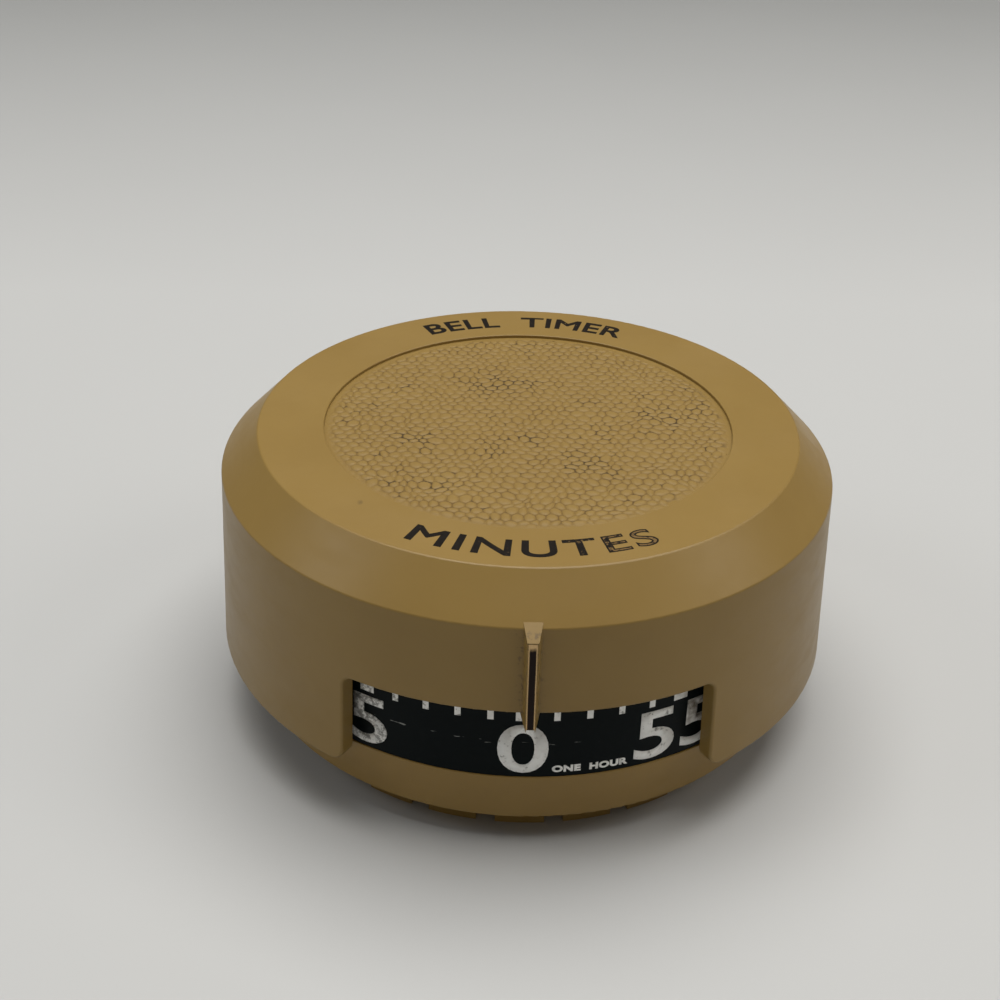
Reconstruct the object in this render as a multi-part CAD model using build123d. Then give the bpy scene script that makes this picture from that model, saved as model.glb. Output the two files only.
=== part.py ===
from build123d import *
import os
from math import asin, atan2, cos, degrees, hypot, pi, radians, sin, sqrt, tan

# A sixty-minute mechanical kitchen timer. The whole cap is the knob: its skirt has an arched
# window, open at the bottom, over a printed number band that is wrapped round the base. A rib
# with a metal stripe points at the minutes. Inside the base a spring-driven train of wheels
# between two plates turns the cap back to zero and then frees a hammer that rings the gong.
# Millimetres, +Z up, origin on the table under the cap's axis, the pointer towards -Y.

# ---- the cap ------------------------------------------------------------------------------
height = 42.6              # table to the top of the cap
skirt_r = 44.0             # outside of the skirt at its open end
skirt_draft = 1.0          # how much narrower the skirt is where the bevel starts
skirt_z = 11.0             # open end of the skirt
bevel_drop = 5.4           # the bevel round the top, down
bevel_run = 5.2            # the bevel round the top, inwards
cap_wall = 2.2
cap_roof = 2.4             # thickness under the sunk panel
panel_r = 28.6             # the sunk, pebbled panel
panel_depth = 0.45
edge_round = 0.35          # small radius on the cap's sharp edges
fine_round = 0.15          # smaller radius on edges that meet a thin wall or a step
window_half_angle = 33.2   # degrees each side of the pointer
window_top_z = 24.75
window_corner = 1.5
window_foot = 2.0          # the rounding where the window meets the skirt's end
boss_r = 4.6               # the boss under the roof that grips the arbor

# ---- the pointer rib ----------------------------------------------------------------------
rib_root_w = 2.15
rib_crest_w = 1.45
rib_stand = 1.6            # how far the crest stands off the skirt
rib_overhang = 1.55        # how far the rib reaches below the window's top
rib_rise = 0.6             # how far up the bevel its sloping top starts
rib_crest_drop = 0.95      # crest's upper end below the bevel's edge
stripe_w = 1.1
stripe_t = 0.15
stripe_drop = 0.2          # stripe's upper end below the crest's upper end
stripe_lift = 0.25         # stripe's lower end above the rib's tip
groove_depth = 0.3

# ---- the base -----------------------------------------------------------------------------
skirt_gap = 1.3            # between the skirt's bore and the number band
band_t = 0.35
band_print_h = 14.6
band_lip = 0.2             # how far the base's rim stands proud of the band
base_rim_z = 12.2
base_taper = 1.3           # the base is this much smaller in radius at its lower edge
base_bottom_z = 4.35
base_wall = 2.0
base_turn = -0.9           # degrees: the base's zero stands this far from the pointer
floor_t = 2.0
drum_top_gap = 6.2         # from the top of the base's drum up to the roof of the cap
foot_inset = 3.85          # foot ring inside the base's lower edge
foot_w = 2.2
foot_slots = 24
foot_slot_w = 2.6
foot_slot_depth = 1.2      # the slots stop short of the foot ring's bore
grille_slots = 12
grille_slot_w = 2.4
grille_slot_l = 9.0
grille_slot_r = 19.0
post_r = 2.6               # posts that carry the movement

# ---- the gong -----------------------------------------------------------------------------
gong_r = 28.0
gong_t = 0.9
gong_lift = 1.4            # rim above the floor
gong_h = 6.1
gong_round = 3.0

# ---- the movement's frame -----------------------------------------------------------------
plate_gap = 2.8            # plates inside the drum
plate_t = 1.2
top_plate_t = 1.0
plate_room = 2.5           # from the gong up to the bottom plate
top_room = 8.2             # from the top plate up to the cap's roof
pillar_r = 1.8
pillar_inset = 1.8         # pillar axis in from the plates' edge
screw_r = 0.8
screw_head_r = 1.8
screw_head_h = 1.2
screw_play = 0.1
pillar_angles = (30, 150, 270)
post_angles = (90, 210, 330)
deck_window_angles = (265, 322)
deck_window_r = 20.0
deck_window_w = 9.0
fit_play = 0.05            # radial play of every running fit
end_play = 0.1             # axial play of every arbor

# ---- the train: teeth, and levels above the bottom plate -----------------------------------
main_teeth, second_pinion_teeth = 72, 9
second_teeth, third_pinion_teeth, strike_pinion_teeth = 60, 8, 10
third_teeth, escape_pinion_teeth = 64, 8
second_to_main_module = 0.8
third_to_main_module = 0.7
train_margin = 2.15        # plates' edge beyond the second wheel
addendum = 0.8
dedendum = 1.1
shift = 0.34               # profile shift of the pinions, taken from their wheels
pressure_angle = 20.0
backlash = 0.06            # each tooth is thinner by this much
wheel_t = 1.0
thin_wheel_t = 0.7
pinion_overlap = 0.3       # a pinion is longer than its wheel by this much each way
arbor_r = 0.7
pivot_r = 0.45
main_arbor_r = 2.0
main_pivot_r = 1.2
spring_lift = 1.0          # mainspring above the bottom plate
spring_t = 0.35
spring_pitch = 1.5
spring_half_turns = 14
spring_to_wheel = 0.8
ratchet_gap = 0.2
ratchet_t = 1.0
ratchet_teeth = 20
ratchet_r = 6.0
ratchet_depth = 1.0
click_r = 8.6              # the click's pivot from the main arbor
low_wheel_lift = 2.8       # escape wheel and star wheel above the bottom plate
pallet_gap = 0.5           # pallet levers above those wheels
lever_t = 0.8

# ---- the escapement and the hammer ---------------------------------------------------------
escape_wheel_teeth = 15
star_teeth = 15
escape_r = 6.0
tooth_depth = 1.4
pallet_half_angle = 42.0   # from the line of centres, 3.5 teeth of 24 degrees over both
pin_r = 0.3
pin_play = 0.05
third_orbit = 45.0         # arbors' distances from the main arbor, in main modules
escape_orbit = 50.0
strike_orbit = 45.0
verge_orbit = 54.0
hammer_orbit = 54.0
weight_r = 1.3
weight_h = 1.4
weight_reach = 5.0
hammer_rod_r = 0.7
hammer_head_r = 1.9
hammer_head_h = 4.0
hammer_gap = 1.0           # hammer head to the gong at rest
hammer_angle = 176.0       # where the hammer head hangs

# ---- the release: cam, lever and stop ------------------------------------------------------
cam_lift = 1.0             # cam above the top plate
cam_t = 1.2
cam_r = 9.0
cam_notch_depth = 1.4
nose_r = 0.5
nose_play = 0.1
lever_pivot = (-14.5, -9.0)
lever_tail = (-17.8, 10.5)
lever_half_w = 1.1
stop_lift = 0.4            # stop arm above the cam
stop_arm_t = 0.8
stop_arm_w = 0.8
stop_r = 18.0
stop_pin_r = 0.45
stop_free_turn = 354.0     # degrees from zero to fifty-nine minutes
hub_clip_t = 0.5
hub_clip_h = 1.6
boss_gap = 0.5             # cap's boss above the stop arm

# ---- sizes that follow ---------------------------------------------------------------------
bevel_r = skirt_r - skirt_draft
bevel_z = height - bevel_drop
top_r = bevel_r - bevel_run
panel_z = height - panel_depth
roof_z = panel_z - cap_roof
skirt_bore_r = skirt_r - cap_wall
skirt_slope = skirt_draft / (bevel_z - skirt_z)
band_r = bevel_r - cap_wall - skirt_gap + skirt_slope * (bevel_z - base_rim_z)
band_seat_r = band_r - band_t
rim_r = band_r + band_lip
base_r = rim_r - base_taper
drum_bore_r = band_seat_r - base_wall
drum_top_z = roof_z - drum_top_gap
foot_r = base_r - foot_inset
floor_z = base_bottom_z + floor_t
gong_rim_z = floor_z + gong_lift
gong_top_z = gong_rim_z + gong_h
plate_z = gong_top_z + plate_room
deck_z = plate_z + plate_t                  # upper face of the bottom plate
roof_plate_z = roof_z - top_room - top_plate_t
top_deck_z = roof_plate_z + top_plate_t
plate_r = drum_bore_r - plate_gap
pillar_orbit = plate_r - pillar_inset
train_modules = ((main_teeth + second_pinion_teeth) / 2
                 + second_to_main_module * (second_teeth / 2 + addendum - shift))
main_module = (plate_r - train_margin) / train_modules
second_module = second_to_main_module * main_module
third_module = third_to_main_module * main_module

# levels of the wheels
top_wheel_z = roof_plate_z - 1.8                   # underside of the second wheel
third_wheel_z = top_wheel_z - 1.2
main_wheel_z = top_wheel_z - 3.2
ratchet_z = main_wheel_z + wheel_t + ratchet_gap
spring_z = deck_z + spring_lift
spring_h = main_wheel_z - spring_to_wheel - spring_z
low_wheel_z = deck_z + low_wheel_lift
pallet_z = low_wheel_z + thin_wheel_t + pallet_gap
cam_z = top_deck_z + cam_lift
stop_z = cam_z + cam_t + stop_lift
boss_z = stop_z + stop_arm_t + boss_gap
arbor_top_z = roof_z - end_play


def polar(radius, angle):
    """A point at a radius and an angle in degrees."""
    return (radius * cos(radians(angle)), radius * sin(radians(angle)))


def disc(radius, low, high, at=(0, 0)):
    """A cylinder between two heights."""
    lift = Pos(at[0], at[1], low)
    return lift * Cylinder(radius, high - low, align=(Align.CENTER, Align.CENTER, Align.MIN))


def ring(outer, inner, low, high, at=(0, 0)):
    """A washer between two heights."""
    return disc(outer, low, high, at) - disc(inner, low, high, at)


def strap(start, end, half_width, low, high):
    """A flat bar with round ends, between two points."""
    length = hypot(end[0] - start[0], end[1] - start[1])
    turn = degrees(atan2(end[1] - start[1], end[0] - start[0]))
    middle = Pos((start[0] + end[0]) / 2, (start[1] + end[1]) / 2, low) * Rot(0, 0, turn)
    bar = Box(length, 2 * half_width, high - low, align=(Align.CENTER, Align.CENTER, Align.MIN))
    return middle * bar + disc(half_width, low, high, start) + disc(half_width, low, high, end)


def plate_of(points, low, high):
    """A flat plate whose outline is a closed run of points."""
    return Pos(0, 0, low) * extrude(make_face(Polyline(*points, close=True)), high - low)


def turned(points):
    """A solid of revolution from (radius, height) points."""
    return revolve(Plane.XZ * make_face(Polyline(*points, close=True)), Axis.Z)


def sector(half_angle, reach, low, high, toward=-90.0):
    """A wedge from the axis outwards, for cutting."""
    points = [(0, 0), polar(reach, toward - half_angle), polar(reach * 1.4, toward),
              polar(reach, toward + half_angle)]
    return plate_of(points, low, high)


def place(start, start_orbit, distance, orbit, side):
    """An arbor at a given distance from another arbor and from the main arbor; side is +1 or -1."""
    swing = (start_orbit ** 2 + orbit ** 2 - distance ** 2) / (2 * start_orbit * orbit)
    turn = degrees(atan2(start[1], start[0])) + side * degrees(atan2(sqrt(1 - swing ** 2), swing))
    return polar(orbit, turn)


def heading(start, end):
    """The direction from one point to another, in degrees."""
    return degrees(atan2(end[1] - start[1], end[0] - start[0]))


# ---- where the arbors stand ----------------------------------------------------------------
main_distance = main_module * (main_teeth + second_pinion_teeth) / 2
third_distance = second_module * (second_teeth + third_pinion_teeth) / 2
strike_distance = second_module * (second_teeth + strike_pinion_teeth) / 2
escape_distance = third_module * (third_teeth + escape_pinion_teeth) / 2
pallet_distance = (escape_r + pin_r + pin_play) / cos(radians(pallet_half_angle))
pallet_arm = (escape_r + pin_r + pin_play) * tan(radians(pallet_half_angle))

main_at = (0.0, 0.0)
second_at = (0.0, main_distance)
third_at = place(second_at, main_distance, third_distance, third_orbit * main_module, -1)
escape_at = place(third_at, third_orbit * main_module, escape_distance,
                  escape_orbit * main_module, -1)
verge_at = place(escape_at, escape_orbit * main_module, pallet_distance,
                 verge_orbit * main_module, -1)
strike_at = place(second_at, main_distance, strike_distance, strike_orbit * main_module, 1)
hammer_at = place(strike_at, strike_orbit * main_module, pallet_distance,
                  hammer_orbit * main_module, 1)
rod_at = polar(gong_r + hammer_gap + hammer_head_r, hammer_angle)
train_arbors = (second_at, third_at, escape_at, verge_at, strike_at)


def mate_phase(phase, teeth, mate_teeth, toward):
    """Where a tooth of the mating gear stands, so that the two are in mesh at rest."""
    return toward + 180 - teeth / mate_teeth * (phase - toward) - 180 / mate_teeth


def gear(teeth, module, profile_shift, phase, low, high, bore, at):
    """An involute gear with one tooth centred on the angle phase."""
    pitch = module * teeth / 2
    base = pitch * cos(radians(pressure_angle))
    tip = pitch + module * (addendum + profile_shift)
    root = pitch - module * (dedendum - profile_shift)
    involute = tan(radians(pressure_angle)) - radians(pressure_angle)
    half = pi / (2 * teeth) + (2 * profile_shift * tan(radians(pressure_angle))) / teeth
    half -= backlash / (2 * pitch)

    def half_angle(radius):
        roll = sqrt(max(radius ** 2 / base ** 2 - 1, 0))
        return half + involute - (roll - atan2(roll, 1))

    start = max(base, root)
    steps = 4
    radii = [start + (tip - start) * i / steps for i in range(steps + 1)]
    flank = [(root, half_angle(start))] if root < base else []
    flank += [(r, half_angle(r)) for r in radii]
    points = []
    for tooth in range(teeth):
        centre = radians(phase) + 2 * pi * tooth / teeth
        for r, a in flank:
            points.append((at[0] + r * cos(centre - a), at[1] + r * sin(centre - a)))
        for r, a in reversed(flank):
            points.append((at[0] + r * cos(centre + a), at[1] + r * sin(centre + a)))
    return plate_of(points, low, high) - disc(bore, low - 1, high + 1, at)


def spoked(wheel, at, hub, rim, spokes, low, high):
    """The wheel with its web cut away between spokes."""
    gaps = ring(rim, hub, low - 1, high + 1, at)
    for i in range(spokes):
        gaps -= strap(at, (at[0] + 2 * rim * cos(2 * pi * i / spokes),
                           at[1] + 2 * rim * sin(2 * pi * i / spokes)), 0.9, low - 2, high + 2)
    return wheel - gaps


def pointed_wheel(teeth, tip, depth, phase, low, high, bore, at):
    """A wheel of thin pointed teeth, for a pair of pallet pins."""
    points = []
    for tooth in range(teeth):
        centre = phase + 360 * tooth / teeth
        for radius, off in ((tip - depth, -5.0), (tip, -0.8), (tip, 0.8), (tip - depth, 5.0)):
            x, y = polar(radius, centre + off)
            points.append((at[0] + x, at[1] + y))
    return plate_of(points, low, high) - disc(bore, low - 1, high + 1, at)


def arbor(at, top_extra=0.0):
    """A train arbor: a body between the plates and a pivot in each."""
    body = disc(arbor_r, deck_z + end_play, roof_plate_z - end_play, at)
    return body + disc(pivot_r, plate_z, top_deck_z + top_extra, at)


# ---- cap, stripe and what turns with them ---------------------------------------------------
def skirt_outer(z):
    return skirt_r - skirt_slope * (z - skirt_z)


def circles(body, radius, z):
    """The body's circular edges of one radius at one height."""
    return [e for e in body.edges().filter_by(GeomType.CIRCLE)
            if abs(e.radius - radius) < 0.01 and abs(e.arc_center.Z - z) < 0.01]


def across_wall(body, z):
    """The straight edges at one height that cross the skirt's wall, at the window's sides."""
    return [e for e in body.edges().filter_by(GeomType.LINE)
            if abs(e.length - cap_wall) < 0.3 and abs(e.center().Z - z) < 0.01]


def outer_rim(body):
    """The edges of the window and of the skirt's open end, on the outside."""
    rim = []
    for edge in body.edges():
        spots = [edge @ t for t in (0.05, 0.5, 0.95)]
        if all(abs(hypot(p.X, p.Y) - skirt_outer(p.Z)) < 0.02 and p.Z < bevel_z - 1 for p in spots):
            rim.append(edge)
    return rim


def make_cap():
    inner_bevel = cap_wall * 0.55
    body = turned([(0, panel_z), (panel_r, panel_z), (panel_r, height), (top_r, height),
                   (bevel_r, bevel_z), (skirt_r, skirt_z), (skirt_bore_r, skirt_z),
                   (bevel_r - cap_wall, bevel_z - inner_bevel), (top_r - inner_bevel, roof_z),
                   (0, roof_z)])
    body = fillet(circles(body, top_r, height) + circles(body, bevel_r, bevel_z), edge_round)
    body = fillet(circles(body, panel_r, height), fine_round)
    window = sector(window_half_angle, skirt_r + 4, skirt_z - 1, window_top_z)
    body -= window - disc(skirt_bore_r - cap_wall, skirt_z - 2, window_top_z + 1)
    body = fillet(across_wall(body, window_top_z), window_corner)
    body = fillet(across_wall(body, skirt_z), window_foot)
    body = fillet(outer_rim(body), edge_round)
    body += disc(boss_r, boss_z, roof_z + 0.2)
    body += pointer_rib()
    return body - arbor_top() - crest_strip(groove_depth, -rib_stand, -stripe_lift)


def crest(z, in_by=0.0):
    """A point on the rib's crest line, as (y, z), or that far inside it."""
    return (-(skirt_outer(z) + rib_stand - in_by), z)


rib_bottom_z = window_top_z - rib_overhang
rib_crest_z = bevel_z - rib_crest_drop
rib_heel_r = skirt_bore_r + 0.3


def pointer_rib():
    """The rib: a side profile as thick as its root, planed down to a narrower crest."""
    rise_r = bevel_r - bevel_run * rib_rise / bevel_drop
    profile = [(-rise_r + 1.2, bevel_z - 1.0), (-rise_r, bevel_z + rib_rise), crest(rib_crest_z),
               crest(rib_bottom_z), (-rib_heel_r, rib_bottom_z + 0.9)]
    side = Plane.YZ * make_face(Polyline(*profile, close=True))
    slab = extrude(side, rib_root_w, both=True)
    near, far = rib_heel_r - 3.0, skirt_r + rib_stand + 0.5
    slope = (rib_root_w - rib_crest_w) / 2 / rib_stand
    half_near = rib_root_w / 2 + slope * (bevel_r - near)
    half_far = rib_root_w / 2 - slope * (far - bevel_r)
    taper = plate_of([(-half_near, -near), (half_near, -near), (half_far, -far),
                      (-half_far, -far)], rib_bottom_z - 1, height)
    return slab & taper


def crest_strip(floor, top, lift):
    """A strip along the crest between two depths, from that far above the rib's tip."""
    high, low = rib_crest_z - stripe_drop, rib_bottom_z + lift
    profile = [crest(high, floor), crest(high, top), crest(low, top), crest(low, floor)]
    side = Plane.YZ * make_face(Polyline(*profile, close=True))
    return extrude(side, stripe_w / 2, both=True)


def make_stripe():
    return crest_strip(groove_depth, groove_depth - stripe_t, stripe_lift)


def arbor_top():
    """The flatted end of the main arbor, which the cap's boss grips."""
    flat = Pos(main_arbor_r * 0.75, 0, boss_z) * Box(
        2, 2 * main_arbor_r + 1, arbor_top_z - boss_z + 1, align=(Align.MIN, Align.CENTER, Align.MIN))
    return disc(main_arbor_r, boss_z, arbor_top_z) - flat


def make_main_arbor():
    body = disc(main_arbor_r, deck_z + end_play, boss_z)
    return body + disc(main_pivot_r, plate_z - 0.4, deck_z + end_play) + arbor_top()


def make_hub_clip():
    low = boss_z + 0.6
    clip = ring(boss_r + hub_clip_t, boss_r, low, low + hub_clip_h)
    return clip - Pos(boss_r, 0, low) * Box(4, 1.6, 4 * hub_clip_h)


def make_ratchet_wheel():
    step = 360 / ratchet_teeth
    points = []
    for i in range(ratchet_teeth):
        points += [polar(ratchet_r - ratchet_depth, i * step), polar(ratchet_r, i * step + 0.4)]
    return plate_of(points, ratchet_z, ratchet_z + ratchet_t) - disc(main_arbor_r, 0, height)


def make_release_cam():
    cam = ring(cam_r, main_arbor_r, cam_z, cam_z + cam_t)
    notch = Box(2 * cam_notch_depth, 2.8, 3 * cam_t)
    return cam - Pos(-cam_r, -0.1, cam_z) * notch


def make_stop_arm():
    arm = strap(main_at, (stop_r + stop_pin_r, 0), stop_arm_w / 2, stop_z, stop_z + stop_arm_t)
    arm += disc(main_arbor_r + 1.2, stop_z, stop_z + stop_arm_t)
    return arm - disc(main_arbor_r, 0, height)


def make_mainspring():
    """A strip wound in half circles whose centres alternate, so that each runs on smoothly."""
    start = main_arbor_r + end_play + spring_t / 2
    outer, inner = [], []
    for k in range(spring_half_turns):
        centre = (spring_pitch / 2) * (k % 2)
        radius = start + k * spring_pitch / 2
        turn = 180 * (k % 2)
        for side, arcs in ((0.5, outer), (-0.5, inner)):
            arcs.append(CenterArc((centre, 0), radius + side * spring_t, turn, 180))
    first = Line(inner[0] @ 0, outer[0] @ 0)
    last = Line(outer[-1] @ 1, inner[-1] @ 1)
    outline = make_face(outer + inner + [first, last])
    return Pos(0, 0, spring_z) * extrude(outline, spring_h)


spring_end = main_arbor_r + end_play + spring_t + (spring_half_turns - 1) * spring_pitch / 2
spring_post_r = 0.9
spring_post_at = (spring_end + spring_pitch / 2 + spring_post_r, 0.0)


# ---- base ------------------------------------------------------------------------------------
def make_base():
    body = turned([(0, base_bottom_z), (base_r, base_bottom_z), (rim_r, base_rim_z),
                   (band_seat_r, base_rim_z), (band_seat_r, drum_top_z),
                   (drum_bore_r, drum_top_z), (drum_bore_r, floor_z), (0, floor_z)])
    body = fillet(circles(body, base_r, base_bottom_z), edge_round)
    body = fillet(circles(body, rim_r, base_rim_z), fine_round)
    foot = ring(foot_r, foot_r - foot_w, 0, base_bottom_z)
    for i in range(foot_slots):
        turn = (i + 0.5) * 360 / foot_slots - 90 + base_turn
        slot = Box(2 * foot_slot_depth, foot_slot_w, base_bottom_z,
                   align=(Align.CENTER, Align.CENTER, Align.MIN))
        foot -= Rot(0, 0, turn) * Pos(foot_r, 0, 0) * slot
    body += foot
    for i in range(grille_slots):
        turn = (i + 0.5) * 360 / grille_slots
        near, far = grille_slot_r - grille_slot_l / 2, grille_slot_r + grille_slot_l / 2
        body -= strap(polar(near, turn), polar(far, turn), grille_slot_w / 2,
                      base_bottom_z - 1, floor_z + 1)
    body += disc(post_r + 0.6, floor_z - 0.5, gong_top_z - gong_t)
    body -= disc(screw_r + 0.2, floor_z + 1, gong_top_z)
    for turn in post_angles:
        at = polar(pillar_orbit, turn)
        body += disc(post_r, floor_z - 0.5, plate_z, at)
        body -= disc(screw_r, plate_z - 7, plate_z + 1, at)
    return body


def make_number_band():
    return ring(band_r, band_seat_r, base_rim_z, base_rim_z + band_print_h)


def make_gong():
    outer = [(screw_r + 0.3, gong_top_z), (gong_r - gong_round, gong_top_z),
             (gong_r - 0.29 * gong_round, gong_top_z - 0.29 * gong_round),
             (gong_r, gong_top_z - gong_round), (gong_r, gong_rim_z)]
    inner = [(gong_r - gong_t, gong_rim_z), (gong_r - gong_t, gong_top_z - gong_round),
             (gong_r - 0.29 * gong_round - 0.7 * gong_t, gong_top_z - 0.29 * gong_round - 0.7 * gong_t),
             (gong_r - gong_round, gong_top_z - gong_t), (screw_r + 0.3, gong_top_z - gong_t)]
    lines = [Line(outer[0], outer[1]), ThreePointArc(outer[1], outer[2], outer[3]),
             Line(outer[3], outer[4]), Line(outer[4], inner[0]), Line(inner[0], inner[1]),
             ThreePointArc(inner[1], inner[2], inner[3]), Line(inner[3], inner[4]),
             Line(inner[4], outer[0])]
    return revolve(Plane.XZ * make_face(lines), Axis.Z)


def make_gong_screw():
    head = disc(screw_head_r + 0.6, gong_top_z, gong_top_z + screw_head_h)
    slot = Pos(0, 0, gong_top_z + screw_head_h) * Box(8, 0.6, 1.0)
    return head + disc(screw_r + 0.2, gong_top_z - 5, gong_top_z) - slot


# ---- frame -------------------------------------------------------------------------------------
def make_bottom_plate():
    plate = disc(plate_r, plate_z, deck_z) - disc(main_pivot_r + fit_play, 0, height)
    for at in train_arbors + (hammer_at,):
        plate -= disc(pivot_r + fit_play, 0, height, at)
    for turn in pillar_angles + post_angles:
        plate -= disc(screw_r + screw_play, 0, height, polar(pillar_orbit, turn))
    plate -= disc(spring_post_r - 0.3, 0, height, spring_post_at)
    return plate - strap(rod_at, polar(plate_r + 6, hammer_angle), hammer_rod_r + 2.2, 0, height)


def make_top_plate():
    plate = disc(plate_r, roof_plate_z, top_deck_z) - disc(main_arbor_r + fit_play, 0, height)
    for at in train_arbors + (hammer_at,):
        plate -= disc(pivot_r + fit_play, 0, height, at)
    for turn in pillar_angles:
        plate -= disc(screw_r + screw_play, 0, height, polar(pillar_orbit, turn))
    for turn in post_angles:
        plate -= disc(screw_head_r + 0.8, 0, height, polar(pillar_orbit, turn))
    for turn in deck_window_angles:
        near, far = polar(deck_window_r, turn - 10), polar(deck_window_r, turn + 10)
        plate -= strap(near, far, deck_window_w / 2, 0, height)
    for at, radius in ((stop_pin_at, stop_pin_r), (lever_pivot, lever_stud_r), (leaf_stud_at, leaf_stud_r)):
        plate -= disc(radius, 0, height, at)
    return plate


def make_pillars():
    solids = []
    for turn in pillar_angles:
        at = polar(pillar_orbit, turn)
        pillar = disc(pillar_r, deck_z, roof_plate_z, at)
        pillar -= disc(screw_r, deck_z - 1, deck_z + 3.6, at)
        pillar -= disc(screw_r, roof_plate_z - 3.6, roof_plate_z + 1, at)
        solids.append(pillar)
    return Compound(solids)


def screw(at, seat_z, up, length, head_r=screw_head_r):
    """A slotted screw whose head seats at a height; up is +1 for a head on top, -1 below."""
    if up > 0:
        head = disc(head_r, seat_z, seat_z + screw_head_h, at)
        shank = disc(screw_r, seat_z - length, seat_z, at)
        slot_z = seat_z + screw_head_h
    else:
        head = disc(head_r, seat_z - screw_head_h, seat_z, at)
        shank = disc(screw_r, seat_z, seat_z + length, at)
        slot_z = seat_z - screw_head_h
    return head + shank - Pos(at[0], at[1], slot_z) * Box(3 * head_r, 0.5, 0.9)


def make_pillar_screws(low):
    seat, up, length = (plate_z, -1, plate_t + 3.2) if low else (top_deck_z, 1, top_plate_t + 3.2)
    return Compound([screw(polar(pillar_orbit, turn), seat, up, length) for turn in pillar_angles])


def make_mounting_screws():
    return Compound([screw(polar(pillar_orbit, turn), deck_z, 1, plate_t + 6) for turn in post_angles])


def make_spring_post():
    post = disc(spring_post_r, deck_z, spring_z + spring_h, spring_post_at)
    return post + disc(spring_post_r - 0.3, plate_z, deck_z, spring_post_at)


# ---- train ---------------------------------------------------------------------------------
def pinion(teeth, module, wheel_teeth, wheel_phase, wheel_at, at, wheel_z, wheel_thick):
    phase = mate_phase(wheel_phase, wheel_teeth, teeth, heading(wheel_at, at))
    return gear(teeth, module, shift, phase, wheel_z - pinion_overlap,
                wheel_z + wheel_thick + pinion_overlap, arbor_r, at)


def make_main_wheel():
    wheel = gear(main_teeth, main_module, -shift, 0, main_wheel_z, main_wheel_z + wheel_t,
                 main_arbor_r + fit_play, main_at)
    rim = main_module * (main_teeth / 2 - dedendum) - 2.0
    return spoked(wheel, main_at, click_r + 2.6, rim, 5, main_wheel_z, main_wheel_z + wheel_t)


def make_second_wheel():
    high = top_wheel_z + thin_wheel_t
    wheel = gear(second_teeth, second_module, -shift, 0, top_wheel_z, high, arbor_r, second_at)
    return spoked(wheel, second_at, 2.6, second_module * second_teeth / 2 - 2.2, 5, top_wheel_z, high)


def make_third_wheel():
    high = third_wheel_z + thin_wheel_t
    wheel = gear(third_teeth, third_module, -shift, 0, third_wheel_z, high, arbor_r, third_at)
    return spoked(wheel, third_at, 2.6, third_module * third_teeth / 2 - 2.0, 5, third_wheel_z, high)


def make_escape_wheel():
    toward = heading(escape_at, verge_at)
    phase = toward + pallet_half_angle + 90 / escape_wheel_teeth
    high = low_wheel_z + thin_wheel_t
    return pointed_wheel(escape_wheel_teeth, escape_r, tooth_depth, phase, low_wheel_z, high,
                         arbor_r, escape_at)


def make_star_wheel():
    toward = heading(strike_at, hammer_at)
    phase = toward + pallet_half_angle + 90 / star_teeth
    high = low_wheel_z + thin_wheel_t
    return pointed_wheel(star_teeth, escape_r, tooth_depth, phase, low_wheel_z, high,
                         arbor_r, strike_at)


def pallet_pins_at(pivot, wheel):
    """Where the two pallet pins stand round a pointed wheel."""
    toward = heading(wheel, pivot)
    reach = escape_r + pin_r + pin_play
    spots = []
    for side in (1, -1):
        x, y = polar(reach, toward + side * pallet_half_angle)
        spots.append((wheel[0] + x, wheel[1] + y))
    return spots


def make_pins(pivot, wheel):
    low = low_wheel_z - 0.2
    return Compound([disc(pin_r, low, pallet_z + lever_t, at) for at in pallet_pins_at(pivot, wheel)])


def pallet_lever(pivot, wheel):
    """The flat lever that carries two pallet pins, before it gets anything more."""
    lever = disc(arbor_r + 1.0, pallet_z, pallet_z + lever_t, pivot)
    for at in pallet_pins_at(pivot, wheel):
        lever += strap(pivot, at, 0.8, pallet_z, pallet_z + lever_t)
    return lever


def weights_at():
    away = heading(escape_at, verge_at)
    x, y = polar(weight_reach, away + 90)
    return [(verge_at[0] + x, verge_at[1] + y), (verge_at[0] - x, verge_at[1] - y)]


def make_verge():
    lever = pallet_lever(verge_at, escape_at) + strap(*weights_at(), 0.7, pallet_z, pallet_z + lever_t)
    lever -= disc(arbor_r, 0, height, verge_at)
    for at in pallet_pins_at(verge_at, escape_at):
        lever -= disc(pin_r, 0, height, at)
    return lever


def make_weights():
    low = pallet_z + lever_t
    return Compound([disc(weight_r, low, low + weight_h, at) for at in weights_at()])


def make_hammer_arm():
    arm = pallet_lever(hammer_at, strike_at) + strap(hammer_at, rod_at, 1.1, pallet_z, pallet_z + lever_t)
    arm += disc(hammer_rod_r + 0.9, pallet_z, pallet_z + lever_t, rod_at)
    arm -= disc(arbor_r, 0, height, hammer_at) + disc(hammer_rod_r, 0, height, rod_at)
    for at in pallet_pins_at(hammer_at, strike_at):
        arm -= disc(pin_r, 0, height, at)
    return arm


hammer_head_z = gong_rim_z + 0.4


def make_hammer_rod():
    return disc(hammer_rod_r, hammer_head_z, pallet_z + lever_t, rod_at)


def make_hammer_head():
    head = disc(hammer_head_r, hammer_head_z, hammer_head_z + hammer_head_h, rod_at)
    head = fillet(head.edges().filter_by(GeomType.CIRCLE), 0.4)
    return head - disc(hammer_rod_r, 0, height, rod_at)


finger_z = cam_z
finger_r = 0.9
tail_side = degrees(atan2(lever_tail[1] - lever_pivot[1], lever_tail[0] - lever_pivot[0])) + 90
finger_play = 0.4


def finger_end():
    """Beside the lever's tail, so that the raised lever holds the hammer back."""
    x, y = polar(lever_half_w + finger_r + finger_play, tail_side)
    return (lever_tail[0] + x, lever_tail[1] + y)


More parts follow.
